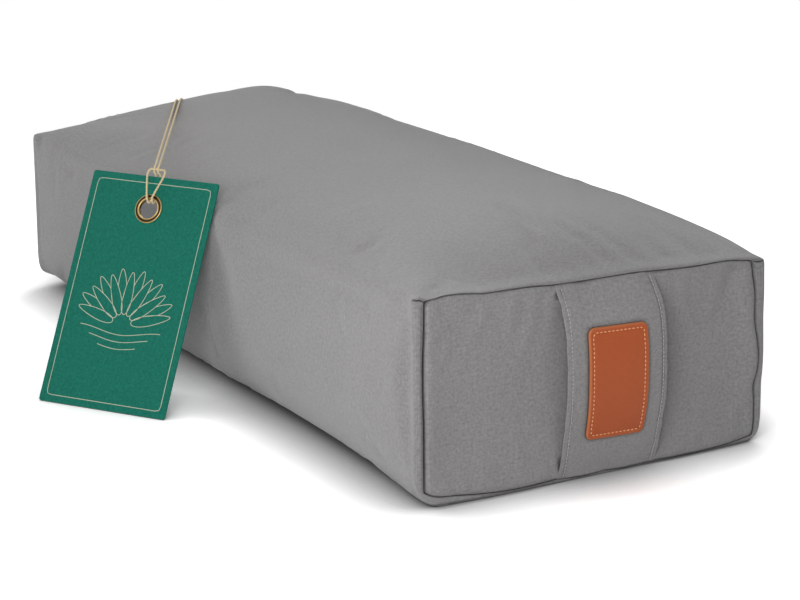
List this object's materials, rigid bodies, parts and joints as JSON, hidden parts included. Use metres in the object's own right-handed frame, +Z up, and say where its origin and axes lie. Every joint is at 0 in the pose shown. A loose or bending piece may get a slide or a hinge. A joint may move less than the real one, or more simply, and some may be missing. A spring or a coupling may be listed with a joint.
{
  "type": "rectangular yoga bolster",
  "caption": "Rectangular husk-filled yoga bolster: zipped canvas cover with end panels, strap handles and a leather patch, an inner bag, and a swing tag on twine.",
  "frame": {"origin": "on the floor under the middle of the body", "axes": "+Y along the body to the far end, +Z up, +X to the side that carries the cover's zip"},
  "size_m": [0.4552, 0.7457, 0.1925],
  "materials": {
    "grey_canvas": "plain-weave cotton canvas, matt",
    "grey_thread": "polyester sewing thread",
    "tan_leather": "smooth tan leather with a light sheen",
    "orange_thread": "waxed light orange thread",
    "calico": "unbleached cotton calico",
    "spelt_husk": "loose spelt husks",
    "zip_tape": "woven polyester tape",
    "nylon_coil": "nylon coil",
    "zip_metal": "plated zinc",
    "white_satin": "woven satin label",
    "green_card": "felt-grained green card",
    "antique_brass": "antique brass",
    "cotton_twine": "twisted cotton twine"
  },
  "bodies": {
    "bolster": {"care_label": "white_satin", "cover_wrap": "grey_canvas", "cover_zip_bottom_stop": "zip_metal", "cover_zip_coil_lower": "nylon_coil", "cover_zip_coil_upper": "nylon_coil", "cover_zip_tape_lower": "zip_tape", "cover_zip_tape_upper": "zip_tape", "cover_zip_top_stop_lower": "zip_metal", "cover_zip_top_stop_upper": "zip_metal", "far_end_panel": "grey_canvas", "far_handle_stitch_left": "grey_thread", "far_handle_stitch_right": "grey_thread", "far_handle_strap": "grey_canvas", "far_seam_overlock": "grey_thread", "husk_fill": "spelt_husk", "inner_bag": "calico", "inner_zip_bottom_stop": "zip_metal", "inner_zip_coil_lower": "nylon_coil", "inner_zip_coil_upper": "nylon_coil", "inner_zip_tape_lower": "zip_tape", "inner_zip_tape_upper": "zip_tape", "inner_zip_top_stop_lower": "zip_metal", "inner_zip_top_stop_upper": "zip_metal", "leather_patch": "tan_leather", "near_end_panel": "grey_canvas", "near_handle_stitch_left": "grey_thread", "near_handle_stitch_right": "grey_thread", "near_handle_strap": "grey_canvas", "near_seam_overlock": "grey_thread", "patch_stitching": "orange_thread", "tag_card": "green_card", "tag_eyelet": "antique_brass", "tag_eyelet_washer": "antique_brass", "tag_twine": "cotton_twine", "tag_twine_knot": "cotton_twine"},
    "cover_slider": {"cover_zip_slider": "zip_metal"},
    "cover_puller": {"cover_zip_puller": "zip_metal"},
    "inner_slider": {"inner_zip_slider": "zip_metal"},
    "inner_puller": {"inner_zip_puller": "zip_metal"}
  },
  "joints": [
    {"name": "cover_zip_slide", "type": "slide", "parent": "bolster", "child": "cover_slider", "axis": [0, -1, 0], "range_m": [0, 0.54]},
    {"name": "cover_puller_turn", "type": "hinge", "parent": "cover_slider", "child": "cover_puller", "pos_m": [0.1593, 0.2719, 0.048], "axis": [0, 0, 1], "range_deg": [0, 175]},
    {"name": "inner_zip_slide", "type": "slide", "parent": "bolster", "child": "inner_slider", "axis": [1, 0, 0], "range_m": [0, 0.18]},
    {"name": "inner_puller_turn", "type": "hinge", "parent": "inner_slider", "child": "inner_puller", "pos_m": [-0.0919, 0.3417, 0.085], "axis": [0, 0, 1], "range_deg": [0, 12]}
  ]
}
